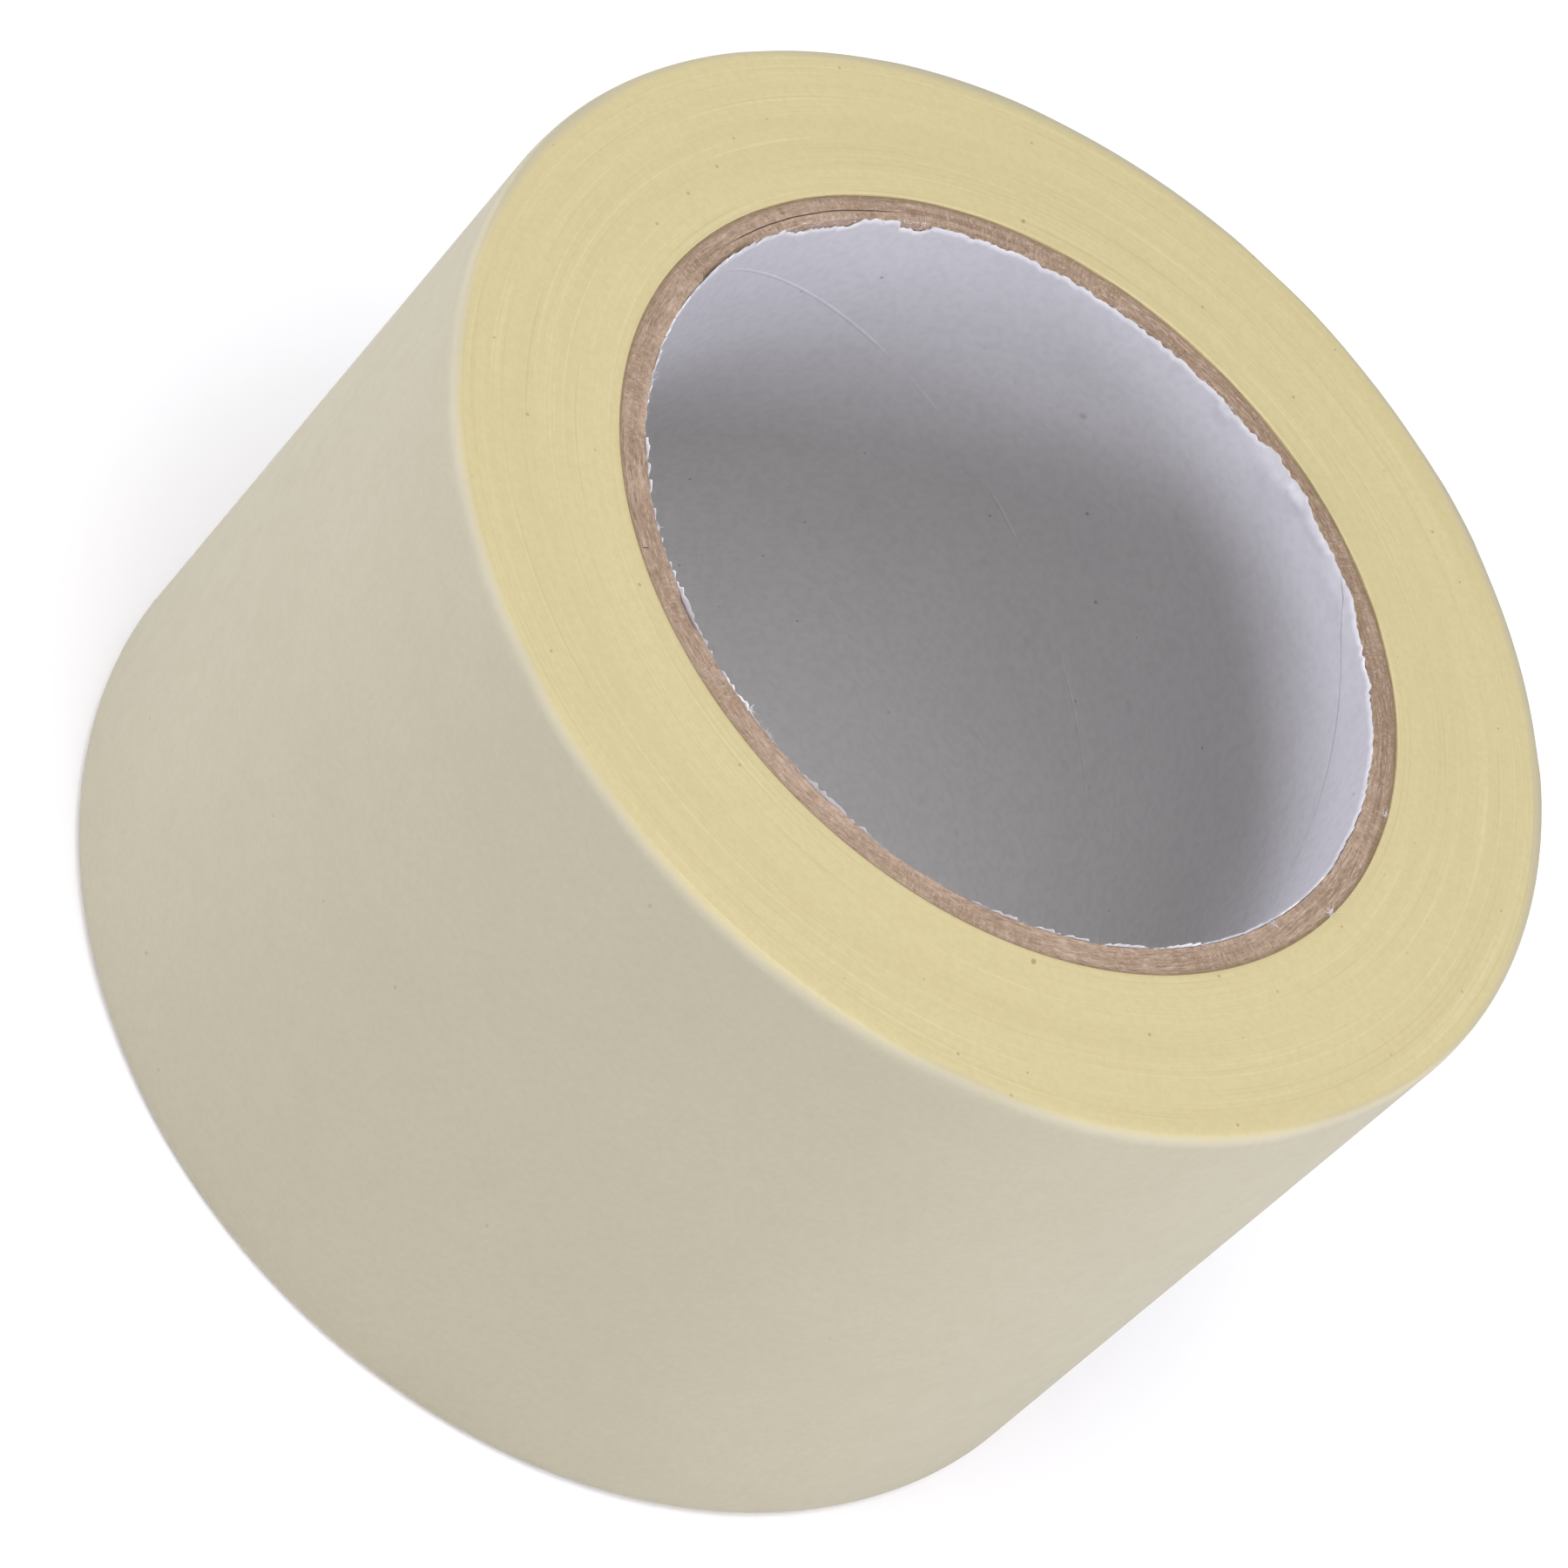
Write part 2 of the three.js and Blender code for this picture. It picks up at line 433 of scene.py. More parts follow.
def adhesive_material():
    """The sticky side: a clear, slightly yellow film that takes the crepe's texture."""
    n = Nodes("tape_adhesive")
    blotch = n.noise(n.place, 420, 3)
    colour = n.mix(n.ramp(blotch, 0.3, 0.7), rgb(0.520, 0.450, 0.260), rgb(0.570, 0.505, 0.320))
    streak = n.noise(n.stretch(n.place, (1.0, 1.0, 0.1)), 1500, 2)
    roughness = n.ramp(streak, 0.3, 0.7, 0.28, 0.42)
    normal = n.bump(streak, 0.02 * MM, 0.6)
    return n.finish(colour, roughness, normal, Coat_Weight=0.25, Coat_Roughness=0.25)


def kraft_material():
    """Grey-brown recycled board. The fibres of its cut ends lie mostly around, in places across,
    and brown glue shows between the plies. Painted shade darkens the board in places, along its
    joint with the tape, and in a dented hollow."""
    n = Nodes("kraft_board")
    flat = n.unrolled(CORE_R)[0]
    cloud = n.noise(n.place, 300, 3)
    along = n.noise(n.stretch(flat, (800, 3000, 5000)), 1.0, 4, 0.8)
    across = n.noise(n.stretch(flat, (4200, 1600, 1600)), 1.0, 4, 0.8)
    turned = n.ramp(n.noise(n.place, 110, 1), 0.44, 0.56, 0.15, 0.65)
    fibre = n.math("ADD", along, n.math("MULTIPLY", n.math("SUBTRACT", across, along), turned))
    colour = n.mix(n.ramp(cloud, 0.32, 0.68), rgb(0.325, 0.231, 0.162), rgb(0.395, 0.288, 0.212))
    # Darker board: each ply's own tone, and painted shade at some angles, mostly on the far side
    colour = n.mix(n.attribute("tone_and_shade"), colour, rgb(0.235, 0.160, 0.105))
    colour = n.mix(n.ramp(fibre, 0.51, 0.60, 0.0, 0.66), colour, rgb(0.515, 0.402, 0.316))
    colour = n.mix(n.ramp(fibre, 0.48, 0.39, 0.0, 0.72), colour, rgb(0.200, 0.132, 0.088))
    # Brown glue between the plies, and painted shade along the core's joint with the tape and in a
    # hollow
    glue_and_shade = n.ramp(n.attribute("glue_and_shade"), 0.0, 1.0, 0.0, 0.72)
    colour = n.mix(glue_and_shade, colour, rgb(0.235, 0.165, 0.095))
    dots = n.specks(n.place, 620, 0.18, 0.10)
    colour = n.mix(n.math("MULTIPLY", dots, 0.45), colour, rgb(0.19, 0.10, 0.06))
    normal = n.bump(fibre, 0.05 * MM, 0.8)
    return n.finish(colour, n.ramp(fibre, 0.3, 0.7, 0.85, 0.97), normal, IOR=1.35)


def liner_material():
    """Coated white paper: smooth, faintly scuffed, dotted, and white where it is torn. The seam
    of the first ply shows through it as a broken ridge, with a painted highlight along it."""
    n = Nodes("liner_paper")
    wall, angle, height = n.unrolled(LINER_R)
    rise = n.math("MULTIPLY", n.math("SUBTRACT", height, ROLL_W), SEAM_SLOPE)
    from_seam = n.math("SUBTRACT", n.math("SUBTRACT", angle, rise), FIRST_PLY_SEAM_AT)
    wrapped = n.math("WRAP", from_seam, -math.pi, math.pi)
    broken = n.ramp(n.noise(n.place, 70, 2), 0.38, 0.58, 0.15, 1.0)
    ridge = n.math("MULTIPLY", n.ramp(n.math("ABSOLUTE", wrapped), 0.0, 0.016, 1.0, 0.0), broken)
    cloud = n.noise(n.place, 45, 3)
    colour = n.mix(n.ramp(cloud, 0.3, 0.7), rgb(0.522, 0.510, 0.516), rgb(0.546, 0.534, 0.540))
    # Painted highlight along the ridge, on top of its bump
    colour = n.mix(n.math("MULTIPLY", ridge, 0.35), colour, rgb(0.62, 0.61, 0.63))
    mottle = n.noise(n.place, 1100, 3)
    colour = n.mix(n.ramp(mottle, 0.35, 0.70, 0.0, 0.34), colour, rgb(0.43, 0.42, 0.425))
    spots = n.noise(wall, 620, 1)
    colour = n.mix(n.ramp(spots, 0.68, 0.80, 0.0, 0.22), colour, rgb(0.38, 0.37, 0.37))
    scuff = n.noise(n.stretch(wall, (0.35, 1.6, 1.0)), 420, 4, 0.7)
    zone = n.ramp(n.noise(n.place, 38, 1), 0.52, 0.64)
    marks = n.math("MULTIPLY", n.ramp(scuff, 0.64, 0.74, 0.0, 0.45), zone)
    colour = n.mix(marks, colour, rgb(0.30, 0.29, 0.29))
    dots = n.specks(wall, 150, 0.026, 0.20)
    colour = n.mix(n.math("MULTIPLY", dots, 0.60), colour, rgb(0.16, 0.15, 0.14))
    smudges = n.specks(n.stretch(wall, (0.8, 1.0, 1.0)), 75, 0.028, 0.10)
    colour = n.mix(n.math("MULTIPLY", smudges, 0.38), colour, rgb(0.20, 0.19, 0.18))
    colour = n.mix(n.attribute("torn"), colour, rgb(0.70, 0.68, 0.66))
    soft = n.noise(n.place, 130, 2)
    normal = n.bump(ridge, 0.09 * MM, 0.6, under=n.bump(mottle, 0.012 * MM, 0.5))
    normal = n.bump(soft, 0.22 * MM, 0.5, under=normal)
    return n.finish(colour, n.ramp(mottle, 0.3, 0.7, 0.42, 0.52), normal, IOR=1.45)


def fibre_material():
    """Loose fibres of white and grey paper."""
    n = Nodes("paper_fibre")
    shade = n.noise(n.place, 900, 1)
    colour = n.mix(n.ramp(shade, 0.35, 0.65), rgb(0.62, 0.59, 0.56), rgb(0.80, 0.78, 0.77))
    return n.finish(colour, 0.9, n.bump(shade, 0.01 * MM, 0.3))


def floor_material():
    """Matt white, with the faintest shading."""
    n = Nodes("studio_floor")
    shade = n.noise(n.place, 8, 1)
    colour = n.mix(n.ramp(shade, 0.4, 0.6), rgb(0.945, 0.945, 0.945), rgb(0.955, 0.955, 0.955))
    return n.finish(colour, 0.9, n.bump(shade, 0.02 * MM, 0.1))


# ---------------------------------------------------------------- the wound tape


def spiral(turns_back):
    """The tape's outside radius, this many turns back from its cut end."""
    return ROLL_R - TAPE_T * turns_back


def rim_drop(depth, angle):
    """How far below the roll's end a turn's edge lies, at this depth under the outside."""
    wear = LEAST_WEAR + marks_at(RIM_WEAR, angle)
    inset = min(depth / (RIM_INSET * wear), 1.0)
    rounding = RIM_FALL * wear * (1 - math.sqrt(1 - (1 - inset) ** 2))
    slope = max(0.0, 1 - depth / CROWN_REACH)
    return rounding + CROWN * slope * slope


def past_rim(depth, angle, z):
    """How far past the rim a point is, in mm: negative on the flat end, positive down the
    outside, and at most 3 either way."""
    past = (min(z, ROLL_W - z) - depth) / MM - marks_at(YELLOW_RIM, angle)
    return min(max(past, -3.0), 3.0)


def wall_heights(angle):
    """Heights down the roll's outside, from the end of the upper rounding to the lower one's."""
    start = rim_drop(0.0, angle)
    near = [start, start + 0.7 * MM, start + 1.5 * MM]
    return [*(ROLL_W - h for h in near), *np.linspace(ROLL_W - 14 * MM, 14 * MM, 5), *near[::-1]]


def envelope(turns_back):
    """The radius that the rim's rounding is measured from. Under the free end, and for a short
    way past its cut end, that is the outside of the turn above."""
    if turns_back >= 1:
        return spiral(turns_back - 1)
    return spiral(turns_back - 1) - TAPE_T * smooth((1 - turns_back) / TIP_STEP_TURNS)


def edge_relief(turns_back):
    """How far each turn's edge stands back. It only depends on the place along the tape."""
    slow = wobble(turns_back * 0.11, 3.1, 0)
    each = wobble(turns_back * 1.7, 7.7, 0)
    step = max(0.0, wobble(turns_back * 0.83, 0, 5.5) - 0.22)
    return (0.012 * slow + 0.007 * each + 0.05 * step) * MM


def outside_wave(angle, height):
    """The outside of a wound roll is never quite round."""
    return 0.012 * MM * wobble(*around(angle, 7), height / (40 * MM))


def wound_tape(materials):
    """One closed mesh with a row for every turn's edge on both ends. Its last column of turns
    joins its first one a turn further in, as the tape does."""
    turns = int((ROLL_R - WINDING_BORE_R) / TAPE_T) - 1
    verts = []
    turn_of = []
    rim_of = []

    def add_end(angle, back, side):
        """The rows of one end, from the bore outwards at the top (side 1), and from the outside
        inwards at the bottom (side 0), where the edges' relief is another one."""
        outside = spiral(back)
        above = envelope(back) - outside
        shift = 0 if side else 300  # turns, in the relief's noise
        rows = [(WINDING_BORE_R, 0.10 * MM, back + turns)]
        for m in range(turns - 1, -1, -1):
            depth = (m + 0.5) * TAPE_T
            relief = edge_relief(back + m + shift)
            rows.append((outside - depth, rim_drop(above + depth, angle) + relief, back + m))
        for depth in (0.02 * MM, 0.0):
            rows.append((outside - depth, rim_drop(above + depth, angle), back))
        if not side:
            rows.reverse()
        for radius, drop, turn in rows:
            z = ROLL_W - drop if side else drop
            verts.append(on_roll(radius, angle, z))
            turn_of.append(turn)
            rim_of.append(past_rim(outside - radius + above, angle, z))

    for j in range(WINDING_COLUMNS + 1):
        back = TAIL_TURNS + j / WINDING_COLUMNS
        angle = TIP_ANGLE + TAU * back
        add_end(angle, back, 1)
        for z in wall_heights(angle)[1:-1]:
            radius = spiral(back) + outside_wave(angle, z)
            verts.append(on_roll(radius, angle, z))
            turn_of.append(back)
            rim_of.append(past_rim(0.0, angle, z))
        add_end(angle, back, 0)
    rows = len(verts) // (WINDING_COLUMNS + 1)
    top = range(1, turns + 1)
    bottom = range(rows - 1 - turns, rows - 1)

    def at(j, k):
        """The vertex at a column and row. The last column's turns are the first one's, one in."""
        if j < WINDING_COLUMNS:
            return j * rows + k
        if k in (0, rows - 1):
            return k
        if k in top and k - 1 in top:
            return k - 1
        if k in bottom and k + 1 in bottom:
            return k + 1
        return WINDING_COLUMNS * rows + k

    faces = []
    for j in range(WINDING_COLUMNS):
        for k in range(rows):
            after = (k + 1) % rows
            face = [at(j, k), at(j, after), at(j + 1, after), at(j + 1, k)]
            if j == 0 and k == 0:
                face.insert(1, at(WINDING_COLUMNS, 1))
            if j == 0 and k == rows - 2:
                face.insert(1, at(WINDING_COLUMNS, rows - 2))
            faces.append(face)
    for k in range(turns, rows - 1 - turns):  # the step at the root of the free end
        ends = at(WINDING_COLUMNS, k), at(WINDING_COLUMNS, k + 1)
        faces.append([at(0, k), *ends, at(0, k + 1)])
    mesh = bpy.data.meshes.new("wound_tape")
    mesh.from_pydata(verts, [], faces)
    set_attribute(mesh, "turn", turn_of)
    set_attribute(mesh, "rim", rim_of)
    return link("wound_tape", mesh, materials, 50)


# ---------------------------------------------------------------- the free end


def tail_strip(name, first, last, materials, torn=False):
    """The tape's outer turn between two places, counted in facets back from its cut end. Its
    section is a back, two cut edges that follow the rim's rounding, and the adhesive."""
    bm = bmesh.new()
    turn = bm.verts.layers.float.new("turn")
    rim = bm.verts.layers.float.new("rim")

    def add(place, depth, z, ragged=0.0):
        angle = TIP_ANGLE + place * FACET - ragged / ROLL_R
        radius = spiral(place * FACET_TURNS) - depth
        if depth == 0:
            radius += outside_wave(angle, z)
        vert = bm.verts.new(on_roll(radius, angle, z))
        vert[turn] = place * FACET_TURNS
        vert[rim] = past_rim(depth, angle, z)
        return vert

    edge_depths = [0.5 * (TAPE_T - ADHESIVE_T), TAPE_T - ADHESIVE_T, TAPE_T - 0.01 * MM]
    rings = []
    for j in range(STRIP_COLUMNS + 1):
        place = first + (last - first) * j / STRIP_COLUMNS
        angle = TIP_ANGLE + place * FACET
        section = [(0.0, z) for z in wall_heights(angle)]
        back_rows = len(section)
        section += [(depth, rim_drop(depth, angle)) for depth in edge_depths]
        section += [(d, ROLL_W - rim_drop(d, angle)) for d in reversed(edge_depths)]
        ring = []
        for depth, z in section:
            ragged = 0.0
            if torn and j == STRIP_COLUMNS:
                ragged = 0.9 * wobble(z / (9 * MM), 0.3, 0) + 0.5 * wobble(z / MM, 4.2, 0)
            ring.append(add(place, depth, z, ragged * MM))
        rings.append(ring)
    count = len(rings[0])
    sticky = range(back_rows + 1, back_rows + 4)
    for a, b in zip(rings, rings[1:]):
        for k in range(count):
            after = (k + 1) % count
            face = bm.faces.new([a[k], a[after], b[after], b[k]])
            face.material_index = int(k in sticky)
    bm.faces.new(rings[0])
    bm.faces.new(rings[-1])
    face_outwards(bm)
    return link_bmesh(name, bm, materials)


def free_end(materials):
    """Strips of the free end, each from the middle of one segment to the next. The last one, out to
    the cut end, goes with the last hinge's body."""

    def middle(segment):
        """The outside of the tape at the middle of a segment, and its place in facets."""
        place = len(HINGES) + 0.5 - segment
        angle = TIP_ANGLE + place * FACET
        radius = spiral(place * FACET_TURNS)
        return place, Vector((radius * math.cos(angle), radius * math.sin(angle), 0))

    root_end = len(HINGES)
    place, point = middle(1)
    strip = tail_strip("tail_strip_1", root_end, place, materials)
    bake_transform(strip)
    strips = [strip]
    for i in range(1, len(HINGES)):
        place, point = middle(i)
        next_place, next_point = middle(i + 1)
        strip = tail_strip(f"tail_strip_{i + 1}", place, next_place, materials)
        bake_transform(strip)
        strips.append(strip)
    tip = tail_strip("tail_tip", middle(len(HINGES))[0], 0, materials, torn=True)
    strips.append(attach(tip, TAIL_BODIES[-1]))
    for i, strip in enumerate(strips):
        number = min(i + 1, len(HINGES))
        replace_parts(strip, f"tape_tail_{number:02d}")


# ---------------------------------------------------------------- the core


def sheet_tube(inner, thickness, seam_at, slope, step, heights, layers):
    """A sheet wound once around the axis, whose edges meet at a helical seam that starts at
    seam_at at the top. Until roll_up it lies flat: x goes around, y is the height, and z goes
    from its inside to its outside. Its columns are one step wide."""
    middle = inner + thickness / 2
    lean = slope * middle
    seam_top = seam_at * middle
    seam_bottom = seam_top - ROLL_W * lean
    low = seam_bottom - step
    count = math.ceil((seam_top + TAU * middle + step - low) / step)
    bm = bmesh.new()
    grid = [[bm.verts.new((low + i * step, y, 0)) for y in heights] for i in range(count + 1)]
    for a, b in zip(grid, grid[1:]):
        for k in range(len(heights) - 1):
            bm.faces.new([a[k], b[k], b[k + 1], a[k + 1]])
    across = Vector((1, -lean, 0)).normalized()
    for offset, past in ((SEAM_GAP / 2, False), (TAU * middle - SEAM_GAP / 2, True)):
        bmesh.ops.bisect_plane(
            bm,
            geom=[*bm.verts, *bm.edges, *bm.faces],
            dist=1e-7,
            plane_co=Vector((seam_top + offset, ROLL_W, 0)),
            plane_no=across,
            clear_outer=past,
            clear_inner=not past,
        )
    made = bmesh.ops.extrude_face_region(bm, geom=bm.faces[:])["geom"]
    for vert in made:
        if isinstance(vert, bmesh.types.BMVert):
            vert.co.z = thickness
    walls = [e for e in bm.edges if abs(e.verts[0].co.z - e.verts[1].co.z) > thickness / 2]
    bmesh.ops.subdivide_edges(bm, edges=walls, cuts=layers - 1, use_grid_fill=True)
    return bm, middle


def roll_up(bm, inner, middle):
    """Bends a flat sheet around the axis, by its place around at the middle of its thickness."""
    for vert in bm.verts:
        vert.co = on_roll(inner + vert.co.z, vert.co.x / middle, vert.co.y)
    face_outwards(bm)


def end_heights(low, high, steps, middle_rows):
    """Heights between two ends: close to each end at these steps from it, and even between."""
    deepest = steps[-1]
    between = np.linspace(low + deepest, high - deepest, middle_rows)
    return [*(low + s for s in steps[:-1]), *between, *(high - s for s in reversed(steps[:-1]))]


def board_ply(number, node, material):
    """One ply of the core, up to the next one. It is rough and slightly rounded where it was cut,
    and its glue shows as a broken dark line. The last ply has painted shade along its outside, and
    one ply a dented hollow with painted shade in it."""
    low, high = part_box(node)
    outer = reach(node)
    inner = outer - PLY_T
    last = node == PLIES[-1]
    thickness = PLY_T if last else PLY_T + 0.9 * GLUE_T
    seam_at = FIRST_PLY_SEAM_AT + (number - 1) * PLY_SEAM_STEP
    heights = end_heights(low.z, high.z, [0, 0.05 * MM, 0.2 * MM, CUT_DEPTH, 3 * MM], 5)
    bm, middle = sheet_tube(inner, thickness, seam_at, SEAM_SLOPE, 0.30 * MM, heights, 4)
    glue_and_shade = bm.verts.layers.float.new("glue_and_shade")
    tone_and_shade = bm.verts.layers.float.new("tone_and_shade")
    for vert in bm.verts:
        inset = min(vert.co.y - low.z, high.z - vert.co.y)
        near = max(0.0, 1 - inset / CUT_DEPTH)
        angle = vert.co.x / middle
        depth = vert.co.z / thickness
        open_gap = marks_at(OPEN_GLUE, angle) if number == OPEN_GLUE_PLY else 0.0
        # A dented hollow, with painted shade in it
        dark_hollow = marks_at(DARK_BOARD, angle) if number == DARK_PLY else 0.0
        dark_hollow *= max(0.0, 1.2 - 1.5 * depth)
        uneven = 0.5 * wobble(*around(angle, 24), 5.1 * number)
        # Painted shade at some angles, added to each ply's own darker tone
        vert[tone_and_shade] = min(max(marks_at(BOARD_SHADE, angle) + OLD_PLIES[number - 1] + uneven, 0.0), 0.9)
        broken = 0.55 * wobble(*around(angle, 14), 2.7 * number) + open_gap
        outside = max(0.0, 4 * depth - 3)
        # The last ply: painted shade along its outside, where the tape meets the core
        if last:
            broken = 0.9
            outside = min(max(0.0, 1.6 * depth - 0.1), 1.0)
        vert[glue_and_shade] = near * min(max(broken, 0.0) * outside + dark_hollow, 1.0)
        rough = wobble(*around(angle, 460), 9 * depth + 3.3 * number) + 0.5
        coarse = wobble(*around(angle, 60), 0.25 * (number + depth)) + 0.3
        dent = 0.07 * rough + 0.16 * coarse + 0.25 * outside * open_gap + 0.5 * dark_hollow
        dent = near * max(dent, 0.0) * MM
        vert.co.y += dent if vert.co.y < ROLL_W / 2 else -dent
    roll_up(bm, inner, middle)
    piece = link_bmesh(f"ply_{number}", bm, [material], 40)
    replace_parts(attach(piece, "root"), node)


def liner_piece(material):
    """The liner: its ends are ragged and pressed flat onto the board, torn back in places, and
    stand up and buckle in others."""
    low, high = CORE_SETBACK, ROLL_W - CORE_SETBACK
    inner = LINER_R - LINER_T
    steps = [inset * MM for inset in (0, 0.08, 0.25, 0.5, 0.8, 1.1, 1.6, 2.4)]
    heights = end_heights(low, high, [*steps, LOOSE_DEPTH], 13)
    bm, middle = sheet_tube(
        inner, LINER_T, LINER_SEAM_AT, LINER_SEAM_SLOPE, 0.24 * MM, heights, 2
    )
    torn = bm.verts.layers.float.new("torn")
    for vert in bm.verts:
        angle = vert.co.x / middle
        outward = vert.co.z / LINER_T
        top = vert.co.y > ROLL_W / 2
        inset = high - vert.co.y if top else vert.co.y - low
        near = smooth(1 - inset / LOOSE_DEPTH)
        end = max(0.0, 1 - inset / WHITE_DEPTH)
        mark = marks_at(LINER_TOP_MARKS if top else LINER_BOTTOM_MARKS, angle)
        ragged = 0.20 * wobble(*around(angle, 130), 2.5) + 0.28 * wobble(*around(angle, 420), 8.1)
        layer = 0.08 * wobble(*around(angle, 500), 3 * outward)
        edge = mark + (ragged + layer) * (1 + min(max(0.0, -mark), 1.0) + marks_at(RAGGED, angle))
        vert.co.y += near * edge * MM if top else -near * min(edge, 0.1) * MM
        white = 1.1 * wobble(*around(angle, 70), 6.6) + marks_at(WHITE_EDGE, angle)
        white = min(max(white - 0.4 * mark, 0.0), 1.0) if top else 0.4
        vert[torn] = end * white
        lift = max(0.0, mark)
        buckle = math.sin(math.pi * min(1.0, inset / LOOSE_DEPTH)) * lift
        crease = 0.5 + wobble(*around(angle, 36), inset / (1.3 * MM))
        fold_at = 0.75 + 0.5 * wobble(*around(angle, 50), 0.7)
        fold = marks_at(LINER_FOLDS, angle) if top else 0.0
        fold *= math.exp(-(((inset / MM - fold_at) / 0.38) ** 2))
        swell = 0.02 * (wobble(*around(angle, 11), vert.co.y / (16 * MM)) + 0.5)
        pressed = 0.19 * end * (1 - outward) * (1 - min(lift, 1.0)) * (1 - 0.6 * white)
        vert.co.z += (pressed - 0.40 * buckle * crease - fold - swell) * MM
    roll_up(bm, inner, middle)
    piece = link_bmesh("liner", bm, [material], 40)
    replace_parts(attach(piece, "root"), "core_liner")


def fibre(bm, start, direction, length, width, bend):
    """One paper fibre: a thin three-sided hair that tapers and bends."""
    side = direction.cross(bend).normalized()
    rings = []
    for i in range(4):
        t = i / 3
        centre = start + direction * (length * t) + bend * (length * t * t)
        thin = width * (1 - 0.8 * t)
        ring = []
        for k in range(3):
            turn = TAU * k / 3
            out = side * math.cos(turn) + bend * math.sin(turn)
            ring.append(bm.verts.new(centre + out * thin))
        rings.append(ring)
    for a, b in zip(rings, rings[1:]):
        for k in range(3):
            bm.faces.new([a[k], a[(k + 1) % 3], b[(k + 1) % 3], b[k]])
    bm.faces.new(rings[0])
    bm.faces.new(rings[-1])


def torn_fibres(material):
    """Loose fibres on the core's end: some all along the liner's edge, and a few thick tufts."""
    rng = np.random.default_rng(11)
    bm = bmesh.new()
    spots = []  # angle, radius, and a fibre's length and width in mm
    for _ in range(EDGE_FIBRES):
        spots.append((rng.uniform(0, TAU), LINER_R - rng.uniform(0.0, 0.2) * MM, 0.28, 0.012))
    for _ in range(BOARD_FIBRES):
        spots.append((rng.uniform(0, TAU), rng.uniform(LINER_R, CORE_R), 0.22, 0.010))
    for centre, spread, outward, count in FIBRE_TUFTS:
        for _ in range(count):
            angle = math.radians(rng.normal(centre, spread))
            radius = LINER_R + (outward + rng.normal(0, 0.12)) * MM
            spots.append((angle, radius, 0.42, 0.030))
    for angle, radius, size, width in spots:
        start = Vector(on_roll(radius, angle, ROLL_W - 0.32 * MM))
        direction = Vector(rng.normal(0, 1, 3)) + Vector((0, 0, 1.2))
        bend = Vector(rng.normal(0, 0.5, 3))
        length = size * rng.uniform(0.5, 1.6) * MM
        thin = width * rng.uniform(0.7, 1.4) * MM
        fibre(bm, start, direction.normalized(), length, thin, bend)
    face_outwards(bm)
    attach(link_bmesh("torn_fibres", bm, [material]), "root")


# ---------------------------------------------------------------- the studio


def area_light(name, azimuth, elevation, distance, width, height, watts, tint):
    """A soft box that faces the roll. Azimuth 0 is the camera's side, and grows to its right."""
    a, e = math.radians(azimuth - 90), math.radians(elevation)
    away = Vector((math.cos(a) * math.cos(e), math.sin(a) * math.cos(e), math.sin(e)))
    data = bpy.data.lights.new(name, "AREA")
    data.shape = "RECTANGLE"
    data.size = width
    data.size_y = height
    data.energy = watts
    data.color = tint
    light = bpy.data.objects.new(name, data)
    light.location = Vector((0, 0, ROLL_W)) + away * distance
    light.rotation_mode = "QUATERNION"
    light.rotation_quaternion = away.to_track_quat("Z", "Y")
    bpy.context.scene.collection.objects.link(light)


def soft_world():
    """White up to a little above the horizon, and a dim grey higher up."""
    world = bpy.data.worlds.new("soft_white")
    world.use_nodes = True
    tree = world.node_tree
    background = tree.nodes["Background"]
    background.inputs["Color"].default_value = rgb(1, 1, 1)
    split = tree.nodes.new("ShaderNodeSeparateXYZ")
    tree.links.new(tree.nodes.new("ShaderNodeTexCoord").outputs["Generated"], split.inputs[0])
    fade = tree.nodes.new("ShaderNodeMapRange")
    tree.links.new(split.outputs["Z"], fade.inputs["Value"])
    fade.inputs["From Min"].default_value = math.sin(math.radians(5))
    fade.inputs["From Max"].default_value = math.sin(math.radians(9))
    fade.inputs["To Min"].default_value = 1.0
    fade.inputs["To Max"].default_value = 0.22
    tree.links.new(fade.outputs[0], background.inputs["Strength"])
    bpy.context.scene.world = world


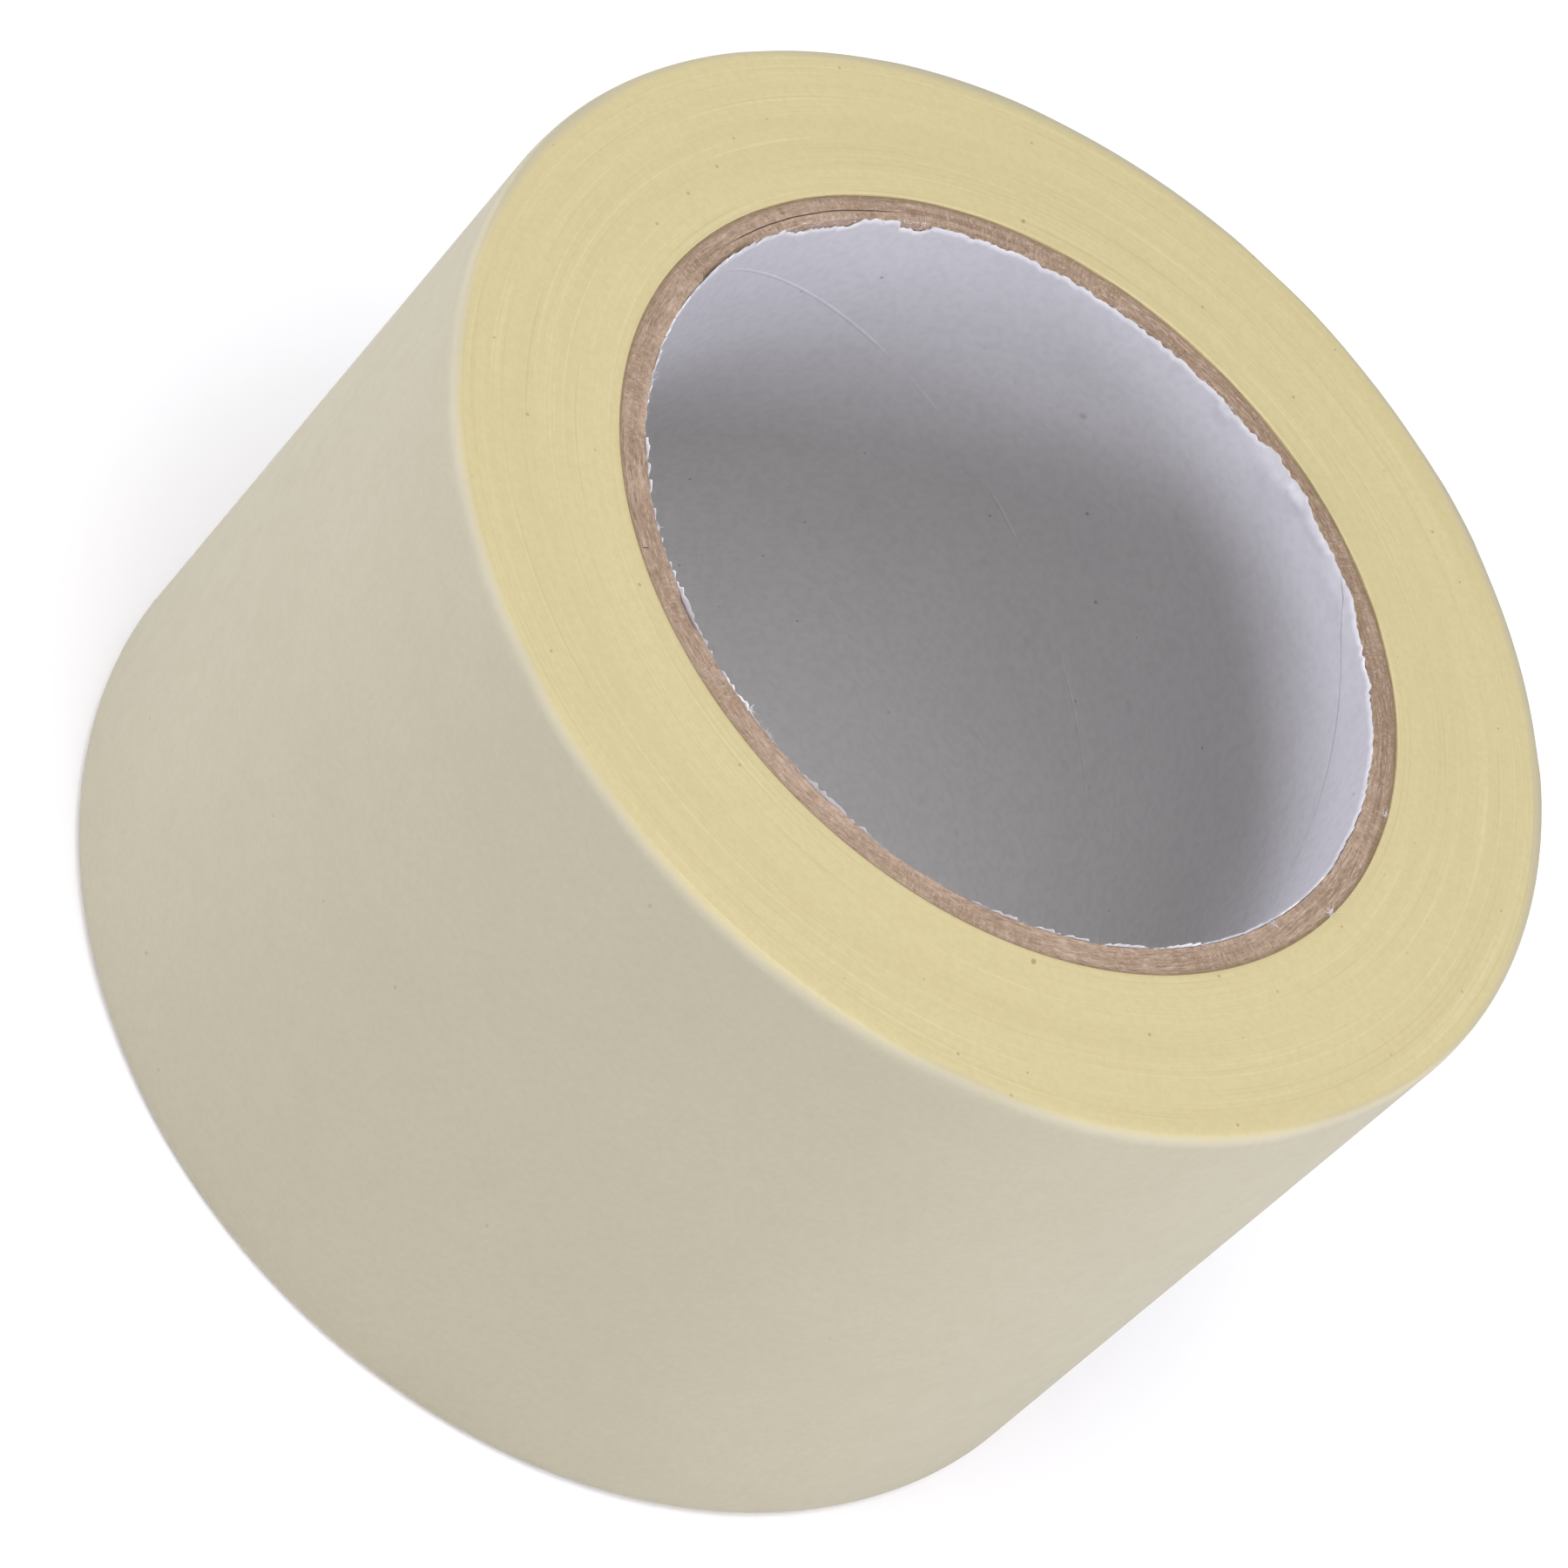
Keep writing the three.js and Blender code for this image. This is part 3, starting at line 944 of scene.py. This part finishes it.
def studio():
    """The floor, the world behind it, and soft boxes: a large one overhead, and low ones that
    shade the roll's sides and the bore as the photo has them."""
    side = 0.85
    bm = bmesh.new()
    bmesh.ops.create_grid(bm, x_segments=8, y_segments=8, size=side / 2)
    floor = link_bmesh("floor", bm, [floor_material()])
    soft_world()
    cool = (0.95, 0.95, 1.14)
    warm = (1.0, 0.995, 0.985)
    area_light("overhead", 0, 82, 1.1, 0.9, 0.9, 11.2, warm)
    area_light("right_low", 30, 8, 0.9, 0.35, 0.16, 1.25, cool)
    area_light("right_high", 60, 18.5, 0.9, 0.35, 0.18, 3.05, cool)
    area_light("right_side", 95, 14, 0.9, 0.40, 0.25, 2.5, cool)
    area_light("left_low", -60, 8, 0.9, 0.35, 0.16, 3.75, cool)
    area_light("left_side", -95, 14, 0.9, 0.40, 0.25, 2.65, cool)
    bpy.context.scene.view_settings.view_transform = "Standard"


def place_camera():
    """44 degrees above the roll's -Y side and leaning over, so that the axis points up and to
    the right in the picture."""
    elevation = math.radians(44.0)
    lean = math.radians(45.0)
    forward = Vector((0, math.cos(elevation), -math.sin(elevation)))
    level_right = Vector((1, 0, 0))
    level_up = level_right.cross(forward)
    up = level_up * math.cos(lean) - level_right * math.sin(lean)
    right = level_right * math.cos(lean) + level_up * math.sin(lean)
    data = bpy.data.cameras.new("camera")
    data.sensor_width = 36
    data.lens = 148.9
    camera = bpy.data.objects.new("camera", data)
    centre = Vector((0, 0, ROLL_W / 2))
    place = centre + (up * 0.22 - right * 2.06 - forward * 609.9) * MM
    turn = Matrix((right, up, -forward)).transposed().to_4x4()
    camera.matrix_world = Matrix.Translation(place) @ turn
    bpy.context.scene.collection.objects.link(camera)
    bpy.context.scene.camera = camera


# ---------------------------------------------------------------- the scene

tape = tape_material()
winding = wound_tape([tape])
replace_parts(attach(winding, "root"), "tape_winding")
free_end([tape, adhesive_material()])
board = kraft_material()
for number, ply in enumerate(PLIES, 1):
    board_ply(number, ply, board)
liner_piece(liner_material())
torn_fibres(fibre_material())
studio()
place_camera()
